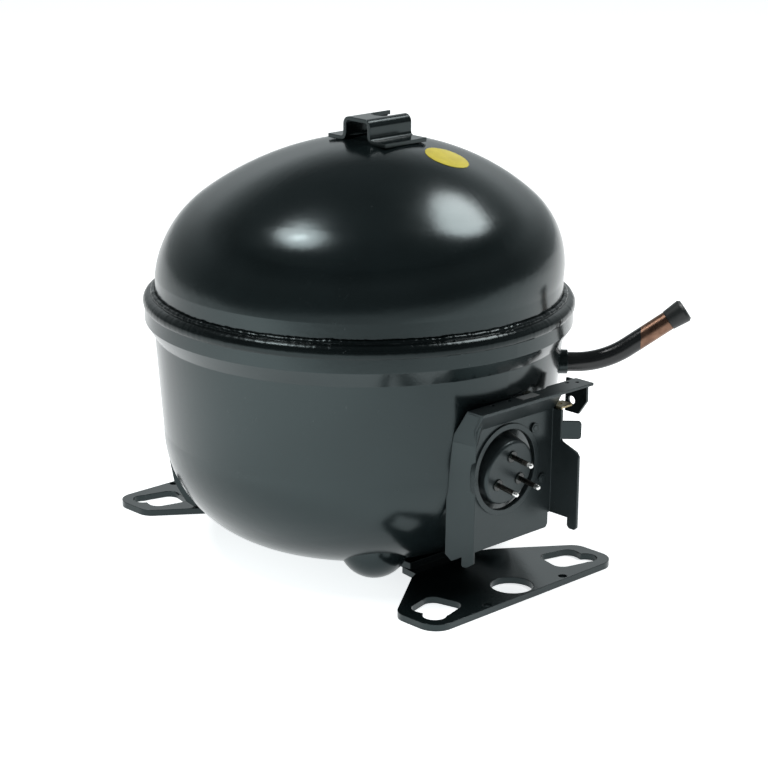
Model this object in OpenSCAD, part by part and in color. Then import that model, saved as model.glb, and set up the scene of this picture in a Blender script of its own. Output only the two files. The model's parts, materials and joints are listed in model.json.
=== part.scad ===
/* [Shell] */
// Outer radius of the upper shell's straight skirt, mm
lid_r = 92.5; // [91.5:0.1:92.8]
// Height of the highest point of the dome, mm
lid_top = 188.7; // [184:0.1:194]
// Height where the skirt turns into the dome's shoulder, mm
lid_spring = 127; // [124:0.5:130]
// Radius of the dome's shoulder in section, mm
lid_shoulder = 45; // [38:0.5:50]
// Sideways lean of the dome for each mm of height, towards +X+Y
lid_lean = 0.12; // [0.1:0.01:0.13]
// Outer radius of the lower shell at its shoulder, mm
pot_r = 89.6; // [89:0.1:90.2]
// Height of the lower shell's shoulder, mm
pot_shoulder_z = 55.5; // [54:0.5:57]
// Radius of the lower shell's rounded bottom edge in section, mm
pot_corner = 50.5; // [49:0.5:51]
// Outer radius of the belled rim, mm
rim_r = 97.4; // [96.8:0.1:98]
// Height of the belled rim's top edge, mm
rim_z = 116; // [115:0.5:117]
// Sheet thickness of both shell halves, mm
wall = 3; // [2.6:0.1:3.2]

/* [Feet] */
// Sheet thickness of the foot plates, mm
plate_t = 3; // [2.5:0.1:3.5]
// Distance from the shell axis to the outer edge of each foot, mm
plate_out = 109; // [107:0.5:111]
// Half length of each foot along Y, mm
plate_half = 59; // [57:0.5:61]
// Distance from the shell axis to the round middle hole, mm
mid_hole_x = 98.2; // [97:0.1:98.8]
// Radius of the round middle hole, mm
mid_hole_r = 9.5; // [8:0.1:9.8]
// Distance from the shell axis to the grommet holes' centres, mm
grommet_x = 92.6; // [92:0.1:93]
// Half distance between the grommet holes of one foot, mm
grommet_y = 41.8; // [41:0.1:43]

/* [Mechanism] */
// Crank throw, half of the piston's stroke, mm
throw = 9; // [7:0.5:9]
// Piston diameter, mm
piston_d = 26; // [22:0.5:27]
// Radius of the crankshaft's main journal, mm
journal_r = 9.5; // [9:0.1:10]
// Height of the cylinder's centre line, mm
cyl_z = 140; // [139.5:0.5:140.5]
// Radial clearance of every running fit, mm
run_gap = 0.03; // [0.02:0.01:0.05]

/* [Motor] */
// Width of the square stator stack, mm
stator_w = 116; // [112:1:118]
// Height of the lamination stack, mm
stack_h = 42; // [38:1:43]
// Radius of the stator's bore, mm
bore_r = 31; // [30.5:0.1:31.5]
// Air gap between the rotor and the stator, mm
air_gap = 0.4; // [0.3:0.05:0.6]
// Number of stator slots
slots = 24; // [24:4:24]

/* [Connections] */
// Outer radius of the process tube, mm
tube_r = 4.5; // [4:0.1:4.8]
// Angle that the process tube bends up by, degrees
tube_bend = 35; // [20:1:38]
// Diameter of the terminal's cup where it passes through the shell, mm
cup_d = 33; // [32:0.5:34]
// Height of the terminal's centre at the shell's wall, mm
term_z = 58.6; // [58:0.2:59]

/* [Hidden] */
$fn = 96;

black = [0.09, 0.1, 0.11];
steel = [0.62, 0.64, 0.66];
iron = [0.38, 0.38, 0.39];
alu = [0.78, 0.79, 0.8];
copper = [0.8, 0.47, 0.3];
plastic = [0.86, 0.84, 0.76];

lean_dir = 45;
pot_bottom = pot_shoulder_z - pot_corner;
pot_neck_z = 100;
pot_neck_r = 93;
lid_skirt_z = 107.5;
seam_gap = 0.3;
seat_x = 46;
seat_y = 34;
bump_z = 17.5;
bump_r = 16;
stack_z = 48;
stack_top = stack_z + stack_h;
case_z = 112;
deck_z = 122;
head_x = 43.4;
pin_r = 7;
weight_r = 28;
yoke_out = 12;
yoke_in = 9.5;
yoke_half = 23;
piston_face = head_x - 0.4 - throw;
cup_y = -5.8;
cup_x = 88;
cup_tilt = 8;
cup_face = 12.3;
fence_x = 96.7;
fence_t = 1.2;
apex = (lid_top - lid_spring) * lid_lean;

/* helpers */

// mirrored copies about the YZ and XZ planes
module four() {
    for (sx = [-1, 1], sy = [-1, 1]) scale_pos(sx, sy) children();
}

module scale_pos(sx, sy) {
    mirror([sx < 0 ? 1 : 0, 0, 0]) mirror([0, sy < 0 ? 1 : 0, 0]) children();
}

// a rounded rectangle in the plane, from true circles
module round_rect(w, h, r) {
    square([w - 2 * r, h], center = true);
    square([w, h - 2 * r], center = true);
    for (sx = [-1, 1], sy = [-1, 1])
        translate([sx * (w / 2 - r), sy * (h / 2 - r)]) circle(r);
}

// section of a tube, or of a rod where the bore ri is 0
module ring_2d(r, ri) difference() {
    circle(r);
    if (ri > 0) circle(ri);
}

// a bend of tube from the origin along +X, turning towards +Y
module elbow(rb, angle, r, ri) translate([0, rb, 0]) rotate([0, 0, -90]) intersection() {
    w = 2 * rb;
    rotate_extrude() translate([rb, 0]) ring_2d(r, ri);
    translate([0, 0, -w / 2]) linear_extrude(w)
        polygon([[0, 0], [w, 0], [w, w * tan(angle / 2)], [w * cos(angle), w * sin(angle)]]);
}

// a pipe with one bend, from the origin along +X and then turning towards +Y
module pipe(first, rb, angle, last, r, ri) {
    rotate([0, 90, 0]) linear_extrude(first) ring_2d(r, ri);
    translate([first, 0, 0]) elbow(rb, angle, r, ri);
    translate([first + rb * sin(angle), rb * (1 - cos(angle)), 0])
        rotate([0, 0, angle]) rotate([0, 90, 0]) linear_extrude(last) ring_2d(r, ri);
}

// a run of solid line: each step is [straight length, bend radius, bend angle, roll before it]
module run(steps, r, i = 0) {
    if (i < len(steps)) {
        s = steps[i];
        rotate([0, 0, s[3]]) {
            if (s[0] > 0) cylinder(h = s[0], r = r);
            translate([0, 0, s[0]]) {
                if (s[2] > 0) translate([s[1], 0, 0]) rotate([90, 0, 0])
                    rotate([0, 0, 180 - s[2]]) rotate_extrude(angle = s[2])
                        translate([s[1], 0]) circle(r);
                translate([s[1] * (1 - cos(s[2])), 0, s[1] * sin(s[2])])
                    rotate([0, s[2], 0]) run(steps, r, i + 1);
            }
        }
    }
}

// a coil spring of round wire, swept along its own helix, with closed end turns
function coil_z(t, turns, h, d) =
    let (c = 0.8, lo = d / 2, pitch = (h - d - 2 * c * d) / (turns - 2 * c))
    t < c ? lo + t * d
    : t > turns - c ? h - lo - (turns - t) * d
    : lo + c * d + (t - c) * pitch;

module coil(r, d, turns, h) {
    steps = turns * 14;
    sides = 6;
    pts = [for (i = [0 : steps], j = [0 : sides - 1])
        let (a = i * 360 / 14, b = j * 360 / sides, q = r + d / 2 * cos(b))
        [q * cos(a), q * sin(a), coil_z(i / 14, turns, h, d) + d / 2 * sin(b)]];
    side = [for (i = [0 : steps - 1], j = [0 : sides - 1])
        let (k = (j + 1) % sides)
        [i * sides + j, i * sides + k, (i + 1) * sides + k, (i + 1) * sides + j]];
    caps = [[for (j = [0 : sides - 1]) sides - 1 - j],
        [for (j = [0 : sides - 1]) steps * sides + j]];
    polyhedron(pts, concat(side, caps));
}

/* shell */

// half section of the dome above the spring line, inset by g
module dome_2d(g) {
    a = lid_r;
    k = lid_top - lid_spring;
    rc = lid_shoulder;
    rd = ((a - rc) * (a - rc) + k * k - rc * rc) / (2 * (k - rc));
    join = (a - rc) * (rd - g) / (rd - rc);
    intersection() {
        translate([0, k - rd]) circle(rd - g);
        square([join, k + 5]);
    }
    intersection() {
        translate([a - rc, 0]) circle(rc - g);
        translate([join, 0]) square([a, k]);
    }
}

// leans everything above the spring line
module leaning() multmatrix([[1, 0, lid_lean * cos(lean_dir), 0],
    [0, 1, lid_lean * sin(lean_dir), 0], [0, 0, 1, lid_spring], [0, 0, 0, 1]]) children();

module dome(g, base) {
    leaning() rotate_extrude() dome_2d(g);
    translate([0, 0, base]) cylinder(h = lid_spring - base, r = lid_r - g);
}

module upper_shell() color(black) {
    for (k = [0 : 3]) leaning() rotate([0, 0, 90 * k]) rotate_extrude(angle = 90) difference() {
        dome_2d(0);
        dome_2d(wall);
    }
    translate([0, 0, lid_skirt_z]) rotate_extrude() translate([lid_r - wall, 0])
        square([wall, lid_spring - lid_skirt_z]);
}

// half section of the lower shell's solid, inset by g
module pot_2d(g) {
    c = pot_r - pot_corner;
    translate([0, pot_bottom + g]) square([c, pot_shoulder_z - pot_bottom - g]);
    intersection() {
        translate([c, pot_shoulder_z]) circle(pot_corner - g);
        translate([c, 0]) square([pot_corner, pot_shoulder_z]);
    }
    polygon([[0, pot_shoulder_z], [pot_r - g, pot_shoulder_z],
        [pot_neck_r - g, pot_neck_z], [0, pot_neck_z]]);
}

// domes pressed out of the bottom under the four springs
module bumps(g) four() translate([seat_x, seat_y, bump_z]) sphere(bump_r - g);

module pot_solid() {
    rotate_extrude() pot_2d(0);
    bumps(0);
}

module lower_shell() color(black) difference() {
    union() {
        pot_solid();
        rotate_extrude() polygon([[0, pot_neck_z], [pot_neck_r, pot_neck_z],
            [rim_r, pot_neck_z + 7], [rim_r, rim_z], [0, rim_z]]);
    }
    rotate_extrude() pot_2d(wall);
    bumps(wall);
    rotate_extrude() polygon([[0, pot_neck_z - 1], [pot_neck_r - wall, pot_neck_z - 1],
        [pot_neck_r - wall, pot_neck_z + 2], [lid_r + seam_gap, lid_skirt_z - 1],
        [lid_r + seam_gap, rim_z + 1], [0, rim_z + 1]]);
    about_terminal() translate([0, 0, -12]) cylinder(h = 40, d = cup_d);
    for (a = tube_at) translate([0, 0, a[1]]) rotate([0, 90, a[0]])
        cylinder(h = 110, r = tube_r);
}

module shell_weld() color(black) rotate_extrude() difference() {
    translate([lid_r + 1.6, rim_z]) circle(2.1);
    square([lid_r, 200]);
    square([rim_r, rim_z]);
}

/* feet */

foot_root = [62, 26];
heel = [89.5, plate_half - 8];
heel_r = 8;
toe_r = 9;
heel_turn = atan2(heel[1] - foot_root[1], heel[0] - foot_root[0])
    + asin(heel_r / norm(heel - foot_root));
heel_run = sqrt(pow(norm(heel - foot_root), 2) - heel_r * heel_r);
heel_edge = foot_root + heel_run * [cos(heel_turn), sin(heel_turn)];

module foot_2d() difference() {
    for (s = [0, 1]) mirror([0, s]) {
        polygon([[50, 0], [50, 20], [60, 21.5], foot_root, heel_edge, heel,
            [heel[0], plate_half], [plate_out - toe_r, plate_half], [plate_out - toe_r, 0]]);
        translate([plate_out - toe_r, 0]) square([toe_r, plate_half - toe_r]);
        translate(heel) circle(heel_r);
        translate([plate_out - toe_r, plate_half - toe_r]) circle(toe_r);
    }
    translate([mid_hole_x, 0]) circle(mid_hole_r);
    for (s = [-1, 1]) {
        translate([plate_out - 2.7, s * 24.5]) circle(2);
        translate([grommet_x, s * grommet_y]) rotate(-14 * s) round_rect(18, 19, 5);
        translate([98.7, s * 49.2]) circle(5.2);
    }
}

// the upturned side of a foot, which is welded to the lower shell
module gusset() translate([62, 27, 0]) rotate([0, 0, 46.8]) rotate([90, 0, 0])
    linear_extrude(plate_t)
        polygon([[0, 0.5], [12, 0.5], [20, 6], [25.5, 16], [27.5, 27], [28, 38],
            [22, 42], [0, 42]]);

// the sheet with the raised tongue that the shell stands on
module foot() {
    linear_extrude(plate_t) foot_2d();
    translate([42, -20, plate_t - 0.2]) cube([13, 40, 3.4]);
}

module foot_right() color(black) difference() {
    foot();
    pot_solid();
}

module foot_left() color(black) mirror([1, 0, 0]) difference() {
    union() {
        foot();
        gusset();
        mirror([0, 1, 0]) gusset();
    }
    pot_solid();
}

/* outside fittings */

// quarter ring of sheet in section, from angle a
module bend_2d(ri, t, a) rotate(a) intersection() {
    difference() {
        circle(ri + t);
        circle(ri);
    }
    square(ri + t + 1);
}

// the clip's hat section, standing on z = 0
module clip_2d() {
    t = 1.8;
    w = 8.6;
    h = 11;
    for (s = [0, 1]) mirror([s, 0]) {
        translate([0, h - t]) square([w - 3.5, t]);
        translate([w - 3.5, h - 3.5]) bend_2d(3.5 - t, t, 0);
        translate([w - t, 3.5]) square([t, h - 7]);
        translate([w + 3.5 - t, 3.5]) bend_2d(3.5 - t, t, 180);
        translate([w + 3.5 - t, 0]) square([8, t]);
    }
}

module top_clip() color(black) difference() {
    translate([apex * cos(lean_dir), apex * sin(lean_dir), lid_top - 1.2]) difference() {
        translate([0, 12.75, 0]) rotate([90, 0, 0]) linear_extrude(25.5) clip_2d();
        translate([0, 12.75 - 10, 5]) cylinder(h = 10, r = 4.8);
        translate([-4.8, 2.75, 5]) cube([9.6, 15, 10]);
    }
    dome(0, lid_spring - 1);
}

// the terminal's own axis, which points outwards and slightly down
module about_terminal() translate([cup_x, cup_y, term_z]) rotate([0, 90 + cup_tilt, 0])
    children();

pin_at = [for (k = [0 : 2]) [-7.9 * cos(120 * k), 7.9 * sin(120 * k)]];
pin_root_r = 1.05;

module terminal_body() color(black) about_terminal() difference() {
    rotate_extrude() {
        polygon([[0, cup_face - 2.6], [12.6, cup_face - 2.6], [13.6, -5], [cup_d / 2, -5],
            [cup_d / 2, 1], [14.8, cup_face - 1.5], [13.3, cup_face - 1.5],
            [13.3, cup_face], [0, cup_face]]);
        translate([13.3, cup_face - 1.5]) circle(1.5);
    }
    for (p = pin_at) translate([p[0], p[1], 0]) cylinder(h = 30, r = 2.6);
}

module terminal_glass() color([0.3, 0.45, 0.4]) about_terminal() for (p = pin_at)
    translate([p[0], p[1], cup_face - 3.4]) difference() {
        cylinder(h = 4, r = 2.6);
        translate([0, 0, -1]) cylinder(h = 8, r = pin_root_r);
    }

module terminal_pins() color(steel) about_terminal() for (p = pin_at)
    translate([p[0], p[1], 0]) {
        translate([0, 0, -14]) cylinder(h = 16 + cup_face, r = pin_root_r);
        translate([0, 0, cup_face + 2]) cylinder(h = 21.6 - cup_face, r = 1.15);
        translate([0, 0, 23.6]) cylinder(h = 0.5, r1 = 1.15, r2 = 0.7);
    }

// a shape drawn in X and Z, laid on the plane at y and as thick as the fence's sheet
module on_side(y) translate([0, y, 0]) rotate([90, 0, 0]) linear_extrude(fence_t) children();

module terminal_fence() color(black) difference() {
    union() {
        // main plate, stepped at its lower right corner
        translate([fence_x, 0, 0]) rotate([90, 0, 90]) linear_extrude(fence_t)
            polygon([[-25, 24.6], [21.4, 24.6], [22.6, 26.2], [22.6, 31.4], [25, 31.4],
                [25, 79.5], [-25, 79.5]]);
        // brow leaning out to the front edge of the shelf
        translate([0, 25, 0]) rotate([90, 0, 0]) linear_extrude(50)
            polygon([[fence_x, 79.3], [fence_x + fence_t, 79.3], [101.5, 86], [101.5, 87],
                [100.2, 87]]);
        // shelf, which runs on to the right as an arm
        translate([0, 0, 86]) linear_extrude(fence_t)
            polygon([[92.7, -25], [101.5, -25], [101.5, 46.4], [91.2, 46.4], [91.2, 27],
                [92.7, 24]]);
        // left flange back to the shell, with two tongues below and a facet above
        translate([fence_x + fence_t, -25, 0]) rotate([0, 0, 14]) {
            on_side(fence_t) polygon([[0, 19.3], [0, 72.6], [-14, 73.2], [-14, 21.3],
                [-10.8, 18.6], [-5.8, 21.4], [-5.8, 17.6], [-5.2, 17], [-3.2, 17]]);
            translate([0, 0, 72.5]) rotate([-5, 0, 0]) on_side(fence_t)
                polygon([[-13, 0], [0, -0.2], [2.8, 13.9], [-5.2, 14.6]]);
        }
        // right flange towards the front, with a foot below and a lug above
        on_side(25) polygon([[fence_x, 31.4], [108.2, 31.4], [108.2, 27.8], [109.4, 26.6],
            [112.3, 26.6], [113.5, 27.8], [113.3, 60.6], [111.8, 62.4], [103.6, 65.2],
            [102.8, 66.2], [102.8, 79.5], [fence_x, 79.5]]);
        translate([102.3, 24.1, 66.2]) rotate([0, 0, 45]) rotate([90, 0, 0])
            translate([4.6, 4.1, -fence_t]) linear_extrude(fence_t) round_rect(9.2, 8.2, 1.5);
        // ear that hangs from the arm's end
        on_side(46.4) polygon([[86.4, 86.6], [98.6, 86.6], [98.8, 78], [94.2, 71.3],
            [86.4, 71.3]]);
        // raised ring round the terminal's opening
        translate([fence_x - 0.6, -6, 58.2]) rotate([0, 90, 0])
            cylinder(h = fence_t + 1.4, r = 20.4);
    }
    translate([80, -6, 58.2]) rotate([0, 90, 0]) cylinder(h = 40, r = 18);
    translate([90.1, 60, 76.8]) rotate([90, 0, 0]) cylinder(h = 30, r = 2);
    for (p = [[94.5, -11.6], [94.4, -1.1], [93.5, 37.8], [96, 41.7]])
        translate([p[0], p[1], 80]) cylinder(h = 10, r = 0.9);
    for (p = rivet_at) translate([90, p[0], p[1]]) rotate([0, 90, 0])
        cylinder(h = 20, r = 1.3);
    pot_solid();
}

rivet_at = [[11.6, 73.2], [17.4, 48.9]];

module fence_rivets() color(black) for (p = rivet_at)
    translate([0, p[0], p[1]]) rotate([0, 90, 0]) {
        translate([0, 0, fence_x - 1.2]) cylinder(h = 2.4 + fence_t, r = 1.3);
        translate([0, 0, fence_x + fence_t]) cylinder(h = 1, r = 2.2);
        translate([0, 0, fence_x - 1.2]) cylinder(h = 1.2, r = 2.2);
    }

module earth_tab() color([0.8, 0.66, 0.35]) difference() {
    union() {
        translate([93.6, 25, 79.6]) cube([8, 7.2, 0.8]);
        translate([94.8, 32, 79.6]) cube([5.6, 1.4, 0.8]);
        translate([97.4, 25, 74.4]) cube([4.4, 0.8, 6]);
    }
    translate([97.6, 29, 78]) cylinder(h = 4, r = 0.9);
}

module fence_label() color([0.6, 0.6, 0.6])
    translate([93.4, 4, 86 + fence_t]) cube([4.6, 11, 0.15]);

module oval_label() color([0.9, 0.75, 0.15]) difference() {
    intersection() {
        translate([39.3, 14.9, 150]) cylinder(h = 60, r = 9.7);
        dome(-0.15, lid_spring - 1);
    }
    dome(0, lid_spring - 2);
}

/* connecting tubes: [direction, height] of process, suction and discharge */
tube_at = [[45, 85.5], [128, 88], [152, 66]];
tube_start = 82;
process_bend = 42;
process_first = 17;
process_last = 22;

// places something on the axis of tube k, with the tube's bend rising
module at_tube(k) translate([0, 0, tube_at[k][1]]) rotate([0, 0, tube_at[k][0]])
    translate([tube_start, 0, 0]) rotate([90, 0, 0]) children();

module process_tube() color(copper) at_tube(0)
    pipe(process_first, process_bend, tube_bend, process_last, tube_r, tube_r - 1);
module suction_tube() color(copper) at_tube(1) pipe(20, 22, 75, 24, tube_r, tube_r - 1);
module discharge_tube() color(copper) at_tube(2) pipe(20, 22, 75, 24, tube_r, tube_r - 1);

module tube_collars() color(black) for (a = tube_at)
    difference() {
        translate([0, 0, a[1]]) rotate([0, 90, a[0]]) difference() {
            cylinder(h = 95.6, r1 = 6.6, r2 = 5.6);
            translate([0, 0, -1]) cylinder(h = 120, r = tube_r);
        }
        rotate_extrude() pot_2d(0);
        cylinder(h = 200, r = 80);
    }

module process_plug() color([0.12, 0.12, 0.12]) at_tube(0)
    translate([process_first + process_bend * sin(tube_bend),
        process_bend * (1 - cos(tube_bend)), 0])
        rotate([0, 0, tube_bend]) rotate([0, 90, 0]) translate([0, 0, process_last])
            difference() {
                union() {
                    translate([0, 0, -10]) cylinder(h = 10.05, r = tube_r - 1 - run_gap);
                    translate([0, 0, 0.05]) cylinder(h = 8, r1 = 4.7, r2 = 5.5);
                    translate([0, 0, 8.05]) cylinder(h = 1.1, r1 = 5.5, r2 = 4.6);
                }
                translate([0, 0, 4]) cylinder(h = 6, r = 1.4);
            }

/* suspension */

peg_h = 24;
spring_z = 15;
cap_z = 44;

module spring_pegs() color(steel) four() translate([seat_x, seat_y, 0]) {
    intersection() {
        translate([0, 0, 6]) cylinder(h = spring_z - 6, r = 8.6);
        translate([0, 0, bump_z]) sphere(bump_r - wall);
    }
    translate([0, 0, spring_z]) cylinder(h = peg_h - spring_z, r = 5.2);
    translate([0, 0, peg_h]) cylinder(h = 2, r1 = 5.2, r2 = 3.5);
}

module springs() color(steel) four() translate([seat_x, seat_y, spring_z])
    coil(6.7, 2, 6, cap_z - spring_z);

module spring_caps() color(plastic) four() translate([seat_x, seat_y, 0]) {
    translate([0, 0, cap_z]) cylinder(h = stack_z - cap_z, r = 8.6);
    translate([0, 0, cap_z - 10]) cylinder(h = 10, r = 5.2);
}

/* motor */

bolt_xy = 50;

module stator_core() color(iron) translate([0, 0, stack_z]) difference() {
    intersection() {
        translate([-stator_w / 2, -stator_w / 2, 0]) cube([stator_w, stator_w, stack_h]);
        cylinder(h = stack_h, r = 77);
    }
    translate([0, 0, -1]) cylinder(h = stack_h + 2, r = bore_r);
    for (k = [0 : slots - 1]) rotate([0, 0, (k + 0.5) * 360 / slots]) {
        translate([33, -2.2, -1]) cube([14.5, 4.4, stack_h + 2]);
        translate([30, -1.1, -1]) cube([4, 2.2, stack_h + 2]);
    }
    four() translate([bolt_xy, bolt_xy, -1]) cylinder(h = stack_h + 2, r = 2.9);
}

module windings() color(copper) {
    for (z = [31, stack_top + 0.3]) translate([0, 0, z]) difference() {
        cylinder(h = 16.7, r = 47.2);
        translate([0, 0, -1]) cylinder(h = 20, r = 33.5);
    }
    for (k = [0 : slots - 1]) rotate([0, 0, (k + 0.5) * 360 / slots])
        translate([33.8, -1.9, 40]) cube([13, 3.8, stack_h + 20]);
}

module stator_bolts() color(steel) four() translate([bolt_xy, bolt_xy, 0]) {
    translate([0, 0, stack_z - 4.5]) cylinder(h = 4.5, r = 5, $fn = 6);
    translate([0, 0, stack_z - 0.1]) cylinder(h = stack_h + 16, r = 2.5);
}

module connector() color(plastic) difference() {
    translate([60.5, cup_y - 13, term_z - 10]) cube([17, 26, 24]);
    about_terminal() for (p = pin_at) translate([p[0], p[1], -18]) cylinder(h = 10, r = 1.6);
}

// three insulated leads from the winding's crown down to the connector
module leads() color([0.75, 0.2, 0.15]) for (k = [-1 : 1])
    translate([47.6, cup_y + 7 * k, stack_top + 12]) rotate([0, 90, 0])
        run([[9, 12, 90, 0], [stack_top - term_z - 14, 0, 0, 0]], 1.3);

/* pump */

module crankcase() color(iron) difference() {
    union() {
        // deck with four legs down to the stack
        translate([-62, -59, case_z]) cube([62 + head_x - 0.4, 118, deck_z - case_z]);
        four() translate([bolt_xy, bolt_xy, stack_top])
            translate([-8, -8, 0]) cube([16, 16, case_z - stack_top + 1]);
        // main bearing
        translate([0, 0, 97]) cylinder(h = deck_z - 97, r = 16);
        // cylinder block
        translate([23.5, -27, case_z]) cube([head_x - 0.4 - 23.5, 54, 48]);
    }
    translate([0, 0, 90]) cylinder(h = 40, r = journal_r + run_gap);
    translate([0, 0, cyl_z]) rotate([0, 90, 0]) cylinder(h = 60, r = piston_d / 2 + run_gap);
    for (sy = [-1, 1], sz = [-1, 1])
        translate([28, sy * 21, cyl_z + sz * 15]) rotate([0, 90, 0]) cylinder(h = 30, r = 2.1);
    four() translate([bolt_xy, bolt_xy, 80]) cylinder(h = 26, r = 2.5);
    // trimmed corners, so that the casting clears the dome
    difference() {
        translate([-90, -90, case_z - 0.01]) cube([180, 180, 60]);
        cylinder(h = 300, r = 76);
    }
    at_muffler() translate([0, 0, -9]) cylinder(h = 12, r = 2.5);
    // room for the counterweight under the cylinder's inner end
    translate([0, 0, deck_z]) cylinder(h = 5.4, r = weight_r + 1);
}

module thrust_washer() color(steel) translate([0, 0, deck_z + 0.02]) difference() {
    cylinder(h = 1, r = 15);
    translate([0, 0, -1]) cylinder(h = 3, r = journal_r + 0.2);
}

// valve gear stack, seen along the cylinder: outline with its four bolt holes
module stack_2d() difference() {
    round_rect(44, 54, 6);
    for (sy = [-1, 1], sz = [-1, 1]) translate([sz * 15, sy * 21]) circle(2.3);
}

module plate_at(x, t) translate([x, 0, cyl_z]) rotate([0, 90, 0]) linear_extrude(t) children();

module suction_gasket() color([0.3, 0.32, 0.3]) plate_at(head_x - 0.4, 0.4) difference() {
    stack_2d();
    circle(piston_d / 2 + 1.5);
}

module suction_reed() color(steel) plate_at(head_x - 0.27, 0.22) {
    translate([0, -3]) circle(3.6);
    translate([-2.4, -3]) square([4.8, 14]);
}

module valve_plate() color(steel) plate_at(head_x, 3) difference() {
    stack_2d();
    translate([0, -3]) circle(2.6);
    translate([-7, 3]) circle(2.2);
    translate([7, 0]) circle(1);
}

module discharge_reed() color(steel) plate_at(head_x + 3.04, 0.22) {
    translate([-7, 3]) circle(3.2);
    translate([-9.2, -9]) square([4.4, 12]);
}

module reed_stop() color(steel) {
    plate_at(head_x + 4.8, 1.2) translate([-7, -3]) round_rect(5.4, 19, 2.6);
    plate_at(head_x + 3, 1.8) translate([-7, -10.8]) circle(1.6);
}

module stop_rivets() color(steel) plate_at(head_x + 6, 1) translate([-7, -10.8]) circle(1.5);

module head_gasket() color([0.3, 0.32, 0.3]) plate_at(head_x + 3, 0.5) difference() {
    stack_2d();
    round_rect(30, 34, 5);
}

module cylinder_head() color(alu) difference() {
    plate_at(head_x + 3.5, 15) stack_2d();
    plate_at(head_x + 3.4, 11) round_rect(29, 33, 5);
    translate([head_x + 11, 0, cyl_z + 10]) cylinder(h = 20, r = 3);
}

module head_bolts() color(steel) for (sy = [-1, 1], sz = [-1, 1])
    translate([0, sy * 21, cyl_z + sz * 15]) rotate([0, 90, 0]) {
        translate([0, 0, 30]) cylinder(h = head_x + 18.5 - 30, r = 2.1);
        translate([0, 0, head_x + 18.5]) difference() {
            cylinder(h = 4, r = 4, $fn = 6);
            translate([0, 0, 2]) cylinder(h = 4, r = 1.8);
        }
    }

module suction_muffler() color(plastic) difference() {
    union() {
        translate([2, -66, 124]) cube([32, 32, 26]);
        translate([18, -35, 137]) rotate([-90, 0, 0]) cylinder(h = 7.8, r = 4);
    }
    translate([4, -64, 126]) cube([28, 28, 22]);
    translate([18, -37, 137]) rotate([-90, 0, 0]) cylinder(h = 12, r = 2.6);
    translate([2, -50, 130]) rotate([0, -90, 0]) translate([0, 0, -5]) cylinder(h = 9, r = 3);
}

muffler_s = 49;
muffler_z = deck_z + 0.02;

// the discharge muffler stands on the deck in line with the discharge tube
module at_muffler() rotate([0, 0, tube_at[2][0]]) translate([muffler_s, 0, muffler_z])
    children();

module muffler_cover() color(steel) at_muffler() difference() {
    union() {
        cylinder(h = 16, r = 15);
        cylinder(h = 2, r = 19);
    }
    translate([0, 0, -1]) cylinder(h = 15.4, r = 13.4);
    cylinder(h = 40, r = 2.7);
    translate([9, 0, 8]) rotate([0, 90, 0]) cylinder(h = 20, r = 2.6);
}

module cover_bolt() color(steel) at_muffler() translate([0, 0, 16]) {
    cylinder(h = 4, r = 4.6, $fn = 6);
    translate([0, 0, -24]) cylinder(h = 24.1, r = 2.5);
}

// flexible discharge line from the muffler cover round to the tube in the shell
module shock_loop() color(copper) rotate([0, 0, tube_at[2][0]])
    translate([0, 0, tube_at[2][1]]) rotate([90, 0, 0]) {
        drop = muffler_z + 8 - tube_at[2][1] - 16;
        translate([muffler_s + 12, drop + 16, 0]) {
            rotate([0, 90, 0]) cylinder(h = 6, r = 2.4);
            translate([6, 0, 0]) mirror([0, 1, 0]) elbow(8, 90, 2.4, 0);
            translate([14, -8, 0]) rotate([90, 0, 0]) cylinder(h = drop, r = 2.4);
            translate([14, -8 - drop, 0]) rotate([0, 0, -90]) elbow(8, 90, 2.4, 0);
            translate([22, -16 - drop, 0]) rotate([0, 90, 0]) cylinder(h = 4, r = 2.4);
        }
    }

/* crank and drive */

module crankshaft() color(iron) difference() {
    union() {
        translate([0, 0, 30]) cylinder(h = 93.1, r = journal_r);
        translate([0, 0, 123.1]) cylinder(h = 3.5, r = 16.8);
        // counterweight opposite the crank pin
        translate([0, 0, 123.1]) intersection() {
            cylinder(h = 3.5, r = weight_r);
            translate([-40, -24, 0]) cube([36, 48, 4]);
        }
        translate([throw, 0, 126]) cylinder(h = 20, r = pin_r);
    }
    translate([0, 0, 29]) cylinder(h = 42, r = 4.5);
    translate([0, 0, 60]) translate([2.5, 0, 0]) cylinder(h = 70, r = 1.8);
    translate([throw / 2, 0, 120]) cylinder(h = 30, r = 1.6 + run_gap);
}

module oil_jet() color([0.8, 0.66, 0.35]) translate([throw / 2, 0, 136])
    cylinder(h = 10, r = 1.6);

module oil_pickup() color(steel) difference() {
    union() {
        translate([0, 0, 16]) cylinder(h = 28, r = 4.5);
        translate([0, 0, 16]) cylinder(h = 14, r = 7);
        translate([0, 0, 12]) cylinder(h = 4, r1 = 3.2, r2 = 7);
    }
    translate([0, 0, 11]) cylinder(h = 6, r = 1.6);
    translate([0, 0, 16]) cylinder(h = 30, r = 3.6);
}

module rotor_core() color(iron) translate([0, 0, stack_z]) difference() {
    cylinder(h = stack_h, r = bore_r - air_gap);
    translate([0, 0, -1]) cylinder(h = stack_h + 2, r = journal_r);
    for (k = [0 : 27]) rotate([0, 0, k * 360 / 28])
        translate([26.4, 0, -1]) cylinder(h = stack_h + 2, r = 2.2);
}

module rotor_cage() color(alu) {
    for (z = [stack_z - 6, stack_top]) translate([0, 0, z]) difference() {
        cylinder(h = 6, r = 29.8);
        translate([0, 0, -1]) cylinder(h = 8, r = 19);
    }
    for (k = [0 : 27]) rotate([0, 0, k * 360 / 28])
        translate([26.4, 0, stack_z - 1]) cylinder(h = stack_h + 2, r = 2.2);
}

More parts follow.
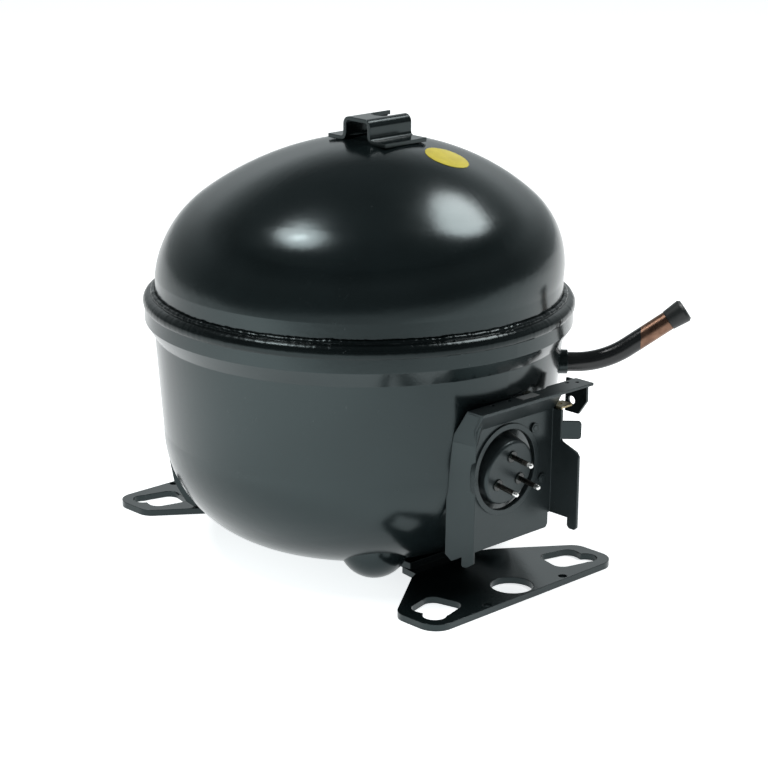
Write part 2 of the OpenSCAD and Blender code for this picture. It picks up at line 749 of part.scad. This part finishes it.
module slide_block() color(iron) difference() {
    translate([throw, 12, cyl_z]) rotate([90, 0, 0]) cylinder(h = 24, r = yoke_in - run_gap);
    translate([throw, 0, cyl_z - 15]) cylinder(h = 30, r = pin_r + run_gap);
}

module yoke_tube() color(steel) difference() {
    translate([throw, yoke_half, cyl_z]) rotate([90, 0, 0]) cylinder(h = 2 * yoke_half, r = yoke_out);
    translate([throw, 30, cyl_z]) rotate([90, 0, 0]) cylinder(h = 60, r = yoke_in);
    pin_slot();
}

// room for the crank pin's full swing across the yoke
module pin_slot() translate([throw - pin_r - 1, -throw - pin_r - 1, cyl_z - 20])
    cube([2 * pin_r + 2, 2 * throw + 2 * pin_r + 2, 20]);

module piston() color(iron) difference() {
    translate([throw + 3, 0, cyl_z]) rotate([0, 90, 0])
        cylinder(h = piston_face - 3, r = piston_d / 2);
    translate([throw, 40, cyl_z]) rotate([90, 0, 0]) cylinder(h = 80, r = yoke_out);
    translate([0, 0, cyl_z]) rotate([0, 90, 0]) cylinder(h = throw + piston_face - 5, r = 7);
    translate([throw + piston_face - 1.6, -8, cyl_z - 4.4]) cube([3, 25, 8.8]);
    pin_slot();
}

upper_shell();
lower_shell();
shell_weld();
foot_left();
foot_right();
top_clip();
terminal_body();
terminal_glass();
terminal_pins();
terminal_fence();
earth_tab();
fence_rivets();
fence_label();
oval_label();
process_tube();
process_plug();
suction_tube();
discharge_tube();
tube_collars();
spring_pegs();
springs();
spring_caps();
stator_core();
windings();
stator_bolts();
connector();
leads();
crankcase();
thrust_washer();
suction_gasket();
suction_reed();
valve_plate();
discharge_reed();
reed_stop();
stop_rivets();
head_gasket();
cylinder_head();
head_bolts();
suction_muffler();
muffler_cover();
cover_bolt();
shock_loop();
crankshaft();
rotor_core();
rotor_cage();
oil_pickup();
slide_block();
oil_jet();
piston();
yoke_tube();
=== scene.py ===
import json
import math

import bmesh
import bpy
from mathutils import Matrix, Vector, noise


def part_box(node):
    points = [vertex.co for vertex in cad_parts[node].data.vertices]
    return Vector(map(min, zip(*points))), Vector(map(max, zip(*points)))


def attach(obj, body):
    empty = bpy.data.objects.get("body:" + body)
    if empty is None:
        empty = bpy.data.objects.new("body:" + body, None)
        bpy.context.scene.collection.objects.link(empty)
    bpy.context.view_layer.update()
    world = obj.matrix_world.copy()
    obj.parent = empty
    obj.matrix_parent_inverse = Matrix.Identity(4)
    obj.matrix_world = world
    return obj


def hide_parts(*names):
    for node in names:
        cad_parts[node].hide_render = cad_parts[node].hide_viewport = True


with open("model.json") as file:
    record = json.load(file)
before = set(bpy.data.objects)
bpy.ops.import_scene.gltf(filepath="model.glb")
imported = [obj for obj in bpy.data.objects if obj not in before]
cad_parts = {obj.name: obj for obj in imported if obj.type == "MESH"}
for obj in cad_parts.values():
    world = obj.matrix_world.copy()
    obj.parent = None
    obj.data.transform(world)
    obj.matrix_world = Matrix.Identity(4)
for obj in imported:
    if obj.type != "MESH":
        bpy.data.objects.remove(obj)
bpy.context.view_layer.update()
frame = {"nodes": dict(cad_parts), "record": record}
nodes = frame["nodes"]


# ---------------------------------------------------------------- materials

class Shader:
    """A small builder for node materials."""

    def __init__(self, name):
        self.material = bpy.data.materials.new(name)
        self.material.use_nodes = True
        self.tree = self.material.node_tree
        self.bsdf = self.tree.nodes["Principled BSDF"]
        self.coords = self.add("ShaderNodeTexCoord").outputs["Object"]
        edge = self.add("ShaderNodeBevel", samples=4)
        edge.inputs["Radius"].default_value = 0.0005
        self.link(edge.outputs["Normal"], self.bsdf.inputs["Normal"])

    def add(self, kind, **values):
        node = self.tree.nodes.new(kind)
        for key, value in values.items():
            setattr(node, key, value)
        return node

    def link(self, a, b):
        self.tree.links.new(a, b)

    def set(self, **values):
        for key, value in values.items():
            self.bsdf.inputs[key.replace("_", " ")].default_value = value
        return self

    def noise(self, scale, detail=3, rough=0.5, stretch=None):
        node = self.add("ShaderNodeTexNoise")
        node.inputs["Scale"].default_value = scale
        node.inputs["Detail"].default_value = detail
        node.inputs["Roughness"].default_value = rough
        source = self.coords
        if stretch:
            mapping = self.add("ShaderNodeMapping")
            mapping.inputs["Scale"].default_value = stretch
            self.link(source, mapping.inputs["Vector"])
            source = mapping.outputs["Vector"]
        self.link(source, node.inputs["Vector"])
        return node.outputs["Fac"]

    def ramp(self, fac, *stops):
        node = self.add("ShaderNodeValToRGB")
        ramp = node.color_ramp
        while len(ramp.elements) < len(stops):
            ramp.elements.new(0.5)
        for element, (place, colour) in zip(ramp.elements, stops):
            element.position = place
            element.color = colour if len(colour) == 4 else (*colour, 1)
        self.link(fac, node.inputs["Fac"])
        return node.outputs["Color"]

    def grey(self, fac, *stops):
        return self.ramp(fac, *[(p, (v, v, v)) for p, v in stops])

    def mix(self, fac, a, b):
        node = self.add("ShaderNodeMix", data_type="RGBA")
        self.link(fac, node.inputs["Factor"])
        for socket, value in ((node.inputs["A"], a), (node.inputs["B"], b)):
            if isinstance(value, tuple):
                socket.default_value = (*value, 1)
            else:
                self.link(value, socket)
        return node.outputs["Result"]

    def along(self, direction, edge, soft=0.0002):
        """0 before the edge and 1 past it, measured along a direction on the object."""
        dot = self.add("ShaderNodeVectorMath", operation="DOT_PRODUCT")
        self.link(self.coords, dot.inputs[0])
        dot.inputs[1].default_value = direction
        wander = self.add("ShaderNodeMath", operation="MULTIPLY_ADD")
        self.link(self.noise(500, 2), wander.inputs[0])
        wander.inputs[1].default_value = 0.0008
        self.link(dot.outputs["Value"], wander.inputs[2])
        step = self.add("ShaderNodeMapRange")
        self.link(wander.outputs[0], step.inputs["Value"])
        step.inputs["From Min"].default_value = edge
        step.inputs["From Max"].default_value = edge + soft
        return step.outputs["Result"]

    def times(self, a, b):
        node = self.add("ShaderNodeMath", operation="MULTIPLY")
        self.link(a, node.inputs[0])
        self.link(b, node.inputs[1])
        return node.outputs[0]

    def bump(self, height, distance, strength=1.0):
        node = self.add("ShaderNodeBump")
        node.inputs["Distance"].default_value = distance
        node.inputs["Strength"].default_value = strength
        self.link(height, node.inputs["Height"])
        previous = self.bsdf.inputs["Normal"]
        if previous.is_linked:
            self.link(previous.links[0].from_socket, node.inputs["Normal"])
        self.link(node.outputs["Normal"], self.bsdf.inputs["Normal"])
        return self

    def to(self, socket, value):
        self.link(value, self.bsdf.inputs[socket])
        return self


def painted(name, dark, light, rough=(0.15, 0.22), peel=0.00003, dust=0.6, shine=0.5):
    """Sprayed paint over pressed steel: orange peel, faint clouds and dust specks."""
    s = Shader(name).set(Specular_IOR_Level=shine, Specular_Tint=(0.80, 0.98, 1.0, 1))
    colour = s.ramp(s.noise(22, 4), (0.35, dark), (0.7, light))
    specks = s.grey(s.noise(900, 2, 0.6), (0.69, 0.0), (0.76, 1.0))
    patches = s.grey(s.noise(35, 3), (0.5, 0.0), (0.72, dust))
    colour = s.mix(s.times(specks, patches), colour, (0.13, 0.15, 0.15))
    s.to("Base Color", colour)
    s.to("Roughness", s.grey(s.noise(14, 4), (0.3, rough[0]), (0.7, rough[1])))
    s.bump(s.noise(420, 2), peel, 0.6)
    s.bump(s.noise(30, 2), 0.0004, 0.25)
    return s


def metal(name, dark, light, rough=(0.25, 0.4), grain=(1, 1, 14), depth=0.00003):
    """Bare metal with drawn or ground lines and light tarnish."""
    s = Shader(name).set(Metallic=1.0)
    s.to("Base Color", s.ramp(s.noise(60, 4, 0.6), (0.3, dark), (0.75, light)))
    lines = s.noise(260, 3, 0.6, grain)
    s.to("Roughness", s.grey(lines, (0.3, rough[0]), (0.7, rough[1])))
    s.bump(lines, depth, 0.5)
    return s


def moulded(name, dark, light, rough=(0.4, 0.6), depth=0.00006, scale=300):
    """Moulded plastic, rubber or fibre with a fine surface grain."""
    s = Shader(name)
    s.to("Base Color", s.ramp(s.noise(45, 4), (0.3, dark), (0.7, light)))
    s.to("Roughness", s.grey(s.noise(80, 3), (0.3, rough[0]), (0.7, rough[1])))
    s.bump(s.noise(scale, 3), depth, 0.6)
    return s


def cast(name, dark, light):
    """Sand-cast iron, dull and pitted."""
    s = Shader(name).set(Metallic=0.6)
    s.to("Base Color", s.ramp(s.noise(90, 6, 0.7), (0.3, dark), (0.75, light)))
    s.to("Roughness", s.grey(s.noise(60, 4), (0.3, 0.5), (0.7, 0.75)))
    s.bump(s.noise(350, 4, 0.7), 0.00025, 0.7)
    return s


def dipped_tube(name, direction, edge):
    """Copper tube with black paint up to an uneven edge along a direction."""
    s = Shader(name)
    bare = s.along(direction, edge)
    paint = s.ramp(s.noise(60, 3), (0.3, (0.006, 0.008, 0.009)), (0.7, (0.012, 0.014, 0.015)))
    copper = s.ramp(s.noise(130, 5, 0.65),
                    (0.3, (0.09, 0.048, 0.034)), (0.72, (0.27, 0.16, 0.11)))
    s.to("Base Color", s.mix(bare, paint, copper))
    s.to("Metallic", bare)
    shine = s.grey(s.noise(90, 3), (0.3, 0.24), (0.7, 0.38))
    s.to("Roughness", s.mix(bare, s.grey(s.noise(30, 2), (0.3, 0.15), (0.7, 0.22)), shine))
    s.bump(bare, 0.0001, -0.6)
    s.bump(s.noise(300, 3), 0.00004, 0.5)
    return s


def sticker(name, dark, light, under):
    """Plain coloured paper, worn through in small spots."""
    s = Shader(name)
    field = s.ramp(s.noise(160, 4, 0.6), (0.3, dark), (0.7, light))
    worn = s.grey(s.noise(380, 4, 0.7), (0.66, 0.0), (0.74, 0.8))
    s.to("Base Color", s.mix(worn, field, under))
    s.to("Roughness", s.grey(s.noise(90, 3), (0.3, 0.28), (0.7, 0.42)))
    s.bump(s.noise(240, 3), 0.00005, 0.6)
    return s


def reach(node, direction):
    """How far a node stretches along a direction."""
    return max(Vector(direction).dot(v.co) for v in nodes[node].data.vertices)


def pins_with_painted_highlights(name, node, mount):
    """Pins coloured near black along the shaft as a painted dark reflection and near white at the
    ends as a painted highlight, along the axis of the mount that they make.
    """
    axis = next(m["axis"] for m in frame["record"]["mounts"] if m["name"] == mount)
    s = Shader(name).set(Metallic=1.0)
    # Painted highlight: the ends of the pins are coloured near white; the shafts are coloured
    # near black as a painted reflection of dark surroundings.
    bright = s.along(axis, reach(node, axis) - PAINTED_HIGHLIGHT_LENGTH, 0.0004)
    painted_dark_shaft = s.ramp(s.noise(200, 4), (0.3, (0.03, 0.03, 0.028)), (0.7, (0.11, 0.105, 0.095)))
    s.to("Base Color", s.mix(bright, painted_dark_shaft, (0.85, 0.86, 0.84)))
    s.to("Roughness", s.grey(s.noise(300, 3), (0.3, 0.2), (0.7, 0.4)))
    s.bump(s.noise(400, 2), 0.00003, 0.5)
    return s


# Length of the painted highlight at each pin's end.
PAINTED_HIGHLIGHT_LENGTH = 0.0020
BARE_END = 0.0149

look = {
    "black_paint": painted("gloss_black_paint", (0.0045, 0.0075, 0.008), (0.008, 0.0125, 0.0135)),
    "fence_paint": painted("satin_black_paint", (0.010, 0.0135, 0.0145), (0.020, 0.0255, 0.027),
                           rough=(0.3, 0.42), dust=0.9),
    "pin_steel": pins_with_painted_highlights("terminal_pin", "terminal_pins", "pin_group"),
    "zinc_steel": metal("zinc_steel", (0.42, 0.43, 0.44), (0.66, 0.67, 0.68)),
    "spring_steel": metal("spring_steel", (0.3, 0.31, 0.33), (0.5, 0.51, 0.53)),
    "lamination": metal("lamination", (0.16, 0.16, 0.17), (0.3, 0.3, 0.31), (0.4, 0.6),
                        (1, 1, 60), 0.0002),
    "ground_steel": metal("ground_steel", (0.5, 0.5, 0.52), (0.72, 0.72, 0.74), (0.12, 0.25)),
    "aluminium": metal("cast_aluminium", (0.5, 0.51, 0.52), (0.72, 0.73, 0.74), (0.4, 0.6),
                       (1, 1, 1)),
    "brass": metal("brass", (0.22, 0.18, 0.10), (0.46, 0.40, 0.25), (0.25, 0.42)),
    "copper": metal("copper", (0.35, 0.14, 0.08), (0.6, 0.28, 0.18), (0.25, 0.4)),
    "cast_iron": cast("cast_iron", (0.1, 0.1, 0.105), (0.2, 0.2, 0.21)),
    "rubber": moulded("rubber", (0.006, 0.008, 0.008), (0.016, 0.020, 0.020), (0.38, 0.52)),
    "nylon": moulded("nylon", (0.66, 0.63, 0.52), (0.76, 0.73, 0.62)),
    "gasket": moulded("gasket", (0.12, 0.14, 0.13), (0.2, 0.22, 0.2), (0.7, 0.85)),
    "winding": moulded("winding", (0.35, 0.11, 0.03), (0.62, 0.26, 0.1), (0.2, 0.35),
                       0.0006, 180),
    "lead_red": moulded("lead_red", (0.4, 0.03, 0.02), (0.55, 0.06, 0.04), (0.35, 0.5)),
    "label_yellow": sticker("yellow_sticker", (0.62, 0.50, 0.012), (0.74, 0.62, 0.03),
                            (0.20, 0.22, 0.03)),
    "label_grey": sticker("grey_label", (0.11, 0.12, 0.12), (0.19, 0.20, 0.20),
                          (0.05, 0.05, 0.05)),
    "glass_bead": moulded("glass_bead", (0.006, 0.010, 0.010), (0.014, 0.020, 0.018),
                          (0.08, 0.14)),
}
look = {name: shader.material for name, shader in look.items()}
slots = {p["node"]: p["material_slot"] for p in frame["record"]["subparts"]}
for name, node in nodes.items():
    node.data.materials.clear()
    node.data.materials.append(look[slots[name]])

# The stub tubes are painted with the shell and bare at their ends.
for name in ("process_tube", "suction_tube", "discharge_tube"):
    centre = (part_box(name)[0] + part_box(name)[1]) / 2
    outwards = Vector((centre.x, centre.y, 0)).normalized()
    finish = dipped_tube(name + "_finish", outwards, reach(name, outwards) - BARE_END)
    nodes[name].data.materials[0] = finish.material


# ---------------------------------------------------------------- camera

AZIMUTH, ELEVATION, ROLL = (math.radians(v) for v in (45.43, 16.85, 0.654))
DISTANCE, LENS = 1.0098, 102.7
AIM_HEIGHT, AIM_ASIDE = 0.0735, 0.01169
back = Vector((math.sin(AZIMUTH) * math.cos(ELEVATION),
               -math.cos(AZIMUTH) * math.cos(ELEVATION), math.sin(ELEVATION)))
right = Vector((math.cos(AZIMUTH), math.sin(AZIMUTH), 0))
up = back.cross(right)
aim = Vector((0, 0, AIM_HEIGHT)) + right * AIM_ASIDE
tilted_right = right * math.cos(ROLL) + up * math.sin(ROLL)
tilted_up = up * math.cos(ROLL) - right * math.sin(ROLL)
camera = bpy.data.objects.new("camera", bpy.data.cameras.new("camera"))
camera.data.lens = LENS
camera.data.sensor_width = 36
camera.data.clip_end = 30
camera.matrix_world = Matrix.Translation(aim + back * DISTANCE) @ Matrix(
    (tilted_right, tilted_up, back)).transposed().to_4x4()
bpy.context.scene.collection.objects.link(camera)
bpy.context.scene.camera = camera


# ---------------------------------------------------------------- the weld bead

def ring_piece(name, rolls, turns=900, around=18):
    """Uneven rings of weld about the shell: (radius, height, thickness, unevenness) each."""
    mesh = bmesh.new()
    for radius, height, thick, uneven in rolls:
        rings = []
        for i in range(turns):
            t = 2 * math.pi * i / turns
            way = Vector((math.cos(t), math.sin(t), height * 30))
            lump = noise.noise(way * 34) * 0.6 + noise.noise(way * 90) * 0.5
            ripple = 0.2 * math.sin(t * 210 + 9 * noise.noise(way * 12))
            size = thick * (1 + uneven * (lump + ripple))
            middle = height + thick * uneven * noise.noise(way * 20)
            turn = [2 * math.pi * k / around for k in range(around)]
            rings.append([mesh.verts.new((way.x * (radius + size * math.cos(u)),
                                          way.y * (radius + size * math.cos(u)),
                                          middle + size * math.sin(u))) for u in turn])
        for i in range(turns):
            here, there = rings[i], rings[(i + 1) % turns]
            for k in range(around):
                n = (k + 1) % around
                mesh.faces.new((here[k], there[k], there[n], here[n]))
    bmesh.ops.recalc_face_normals(mesh, faces=mesh.faces)
    data = bpy.data.meshes.new(name)
    mesh.to_mesh(data)
    mesh.free()
    for face in data.polygons:
        face.use_smooth = True
    piece = bpy.data.objects.new(name, data)
    bpy.context.scene.collection.objects.link(piece)
    return piece


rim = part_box("lower_shell")[1]
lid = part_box("upper_shell")[1]
bead = ring_piece("weld_bead", [(rim.x - 0.0030, rim.z - 0.0008, 0.0037, 0.022),
                                (lid.x + 0.0006, rim.z + 0.0030, 0.0014, 0.2)])
# The weld's paint is coloured darker than the shell's and reflects less: painted shade for the
# shadow under the rim.
bead.data.materials.append(painted("weld_paint_painted_shade", (0.002, 0.0035, 0.0038), (0.007, 0.010, 0.0105),
                                   rough=(0.12, 0.3), peel=0.00012, shine=0.28).material)
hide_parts("shell_weld")
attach(bead, "shell")


# ---------------------------------------------------------------- studio

bpy.context.scene.view_settings.view_transform = "Standard"
world = bpy.data.worlds.new("studio")
bpy.context.scene.world = world
world.use_nodes = True
world.node_tree.nodes["Background"].inputs["Color"].default_value = (0.9, 1.0, 1.03, 1)
world.node_tree.nodes["Background"].inputs["Strength"].default_value = 0.12


def glow(name, colour_stops, strength, pale=0.88):
    """A matte surface that also glows, like a lit sheet."""
    s = Shader(name).set(Roughness=0.7)
    s.to("Base Color", s.grey(s.noise(1.5, 2), (0.3, pale - 0.02), (0.7, pale + 0.02)))
    s.set(Emission_Strength=strength)
    s.to("Emission Color", colour_stops(s))
    return s.material


def pooled(s):
    """Painted light for the floor's glow: white, with a brighter pool of light in front and to
    the left, and the glow dimmed to grey well in front.
    """
    away = s.add("ShaderNodeVectorMath", operation="DISTANCE")
    s.link(s.coords, away.inputs[0])
    away.inputs[1].default_value = (0.03, -0.48, 0)
    pool = s.ramp(away.outputs["Value"], (0.12, (0.96, 1.0, 1.0)), (0.5, (0.39, 0.4, 0.405)),
                  (1.0, (0.36, 0.37, 0.37)))
    forward = s.add("ShaderNodeVectorMath", operation="DOT_PRODUCT")
    s.link(s.coords, forward.inputs[0])
    forward.inputs[1].default_value = Vector((back.x, back.y, 0)).normalized()
    fall = s.grey(forward.outputs["Value"], (0.40, 0.0), (0.52, 1.0))
    return s.mix(fall, pool, (0.09, 0.095, 0.095))


# The floor glows with painted light that also lights the object from below.
bpy.ops.mesh.primitive_plane_add(size=14, location=(0, 0, 0))
floor = bpy.context.object
floor.name = "floor"
floor.data.materials.append(glow("white_floor", pooled, 1.75))


def wall(name, radius, height, sides=96):
    """A round screen about the table, bright at the floor and fading out upwards."""
    mesh = bmesh.new()
    for i in range(sides):
        t, n = (2 * math.pi * k / sides for k in (i, i + 1))
        corners = [(radius * math.cos(v), radius * math.sin(v), z)
                   for v, z in ((t, 0), (n, 0), (n, height), (t, height))]
        mesh.faces.new([mesh.verts.new(c) for c in corners])
    data = bpy.data.meshes.new(name)
    mesh.to_mesh(data)
    mesh.free()
    screen = bpy.data.objects.new(name, data)
    bpy.context.scene.collection.objects.link(screen)
    return screen


# Painted light: the screen's glow is dim low down, brightest in a band halfway up and dark at the
# top, and brighter behind the object than in front of it.
def fading(s):
    split = s.add("ShaderNodeSeparateXYZ")
    s.link(s.coords, split.inputs[0])
    height = s.add("ShaderNodeMapRange")
    s.link(split.outputs["Z"], height.inputs["Value"])
    height.inputs["From Max"].default_value = WALL_HEIGHT
    tall = s.ramp(height.outputs["Result"], (0.0, (0.5, 0.54, 0.55)), (0.22, (0.52, 0.56, 0.57)),
                  (0.5, (0.92, 0.98, 1.0)), (0.72, (0.45, 0.49, 0.5)), (1.0, (0.13, 0.14, 0.145)))
    facing = s.add("ShaderNodeVectorMath", operation="DOT_PRODUCT")
    s.link(s.coords, facing.inputs[0])
    facing.inputs[1].default_value = Vector((-back.x, -back.y, 0)).normalized() / WALL_RADIUS
    behind = s.grey(facing.outputs["Value"], (0.1, 0.16), (0.7, 0.6), (0.95, 1.0))
    both = s.add("ShaderNodeMix", data_type="RGBA", blend_type="MULTIPLY")
    both.inputs["Factor"].default_value = 1.0
    s.link(tall, both.inputs["A"])
    s.link(behind, both.inputs["B"])
    return both.outputs["Result"]


WALL_RADIUS, WALL_HEIGHT = 5.0, 4.6
screen = wall("screen", WALL_RADIUS, WALL_HEIGHT)
screen.data.materials.append(glow("glowing_screen", fading, 0.9, 0.08))


def softbox(name, azimuth, elevation, power, width, height, distance=1.7):
    """An oval light seen from the object's middle in a direction."""
    light = bpy.data.lights.new(name, "AREA")
    light.shape = "ELLIPSE"
    light.size = width
    light.size_y = height
    light.energy = power
    obj = bpy.data.objects.new(name, light)
    turn, rise = math.radians(azimuth), math.radians(elevation)
    way = Vector((math.cos(turn) * math.cos(rise), math.sin(turn) * math.cos(rise),
                  math.sin(rise)))
    obj.location = Vector((0, 0, 0.15)) + way * distance
    obj.rotation_mode = "QUATERNION"
    obj.rotation_quaternion = way.to_track_quat("Z", "Y")
    bpy.context.scene.collection.objects.link(obj)


softbox("key_left", -128, 65, 10, 0.80, 0.52)
softbox("key_right", 71, 56, 14, 0.92, 0.62)
softbox("spark_left", -126, 64, 1.6, 0.16, 0.16)
softbox("spark_right", 71, 56, 1.6, 0.16, 0.16)
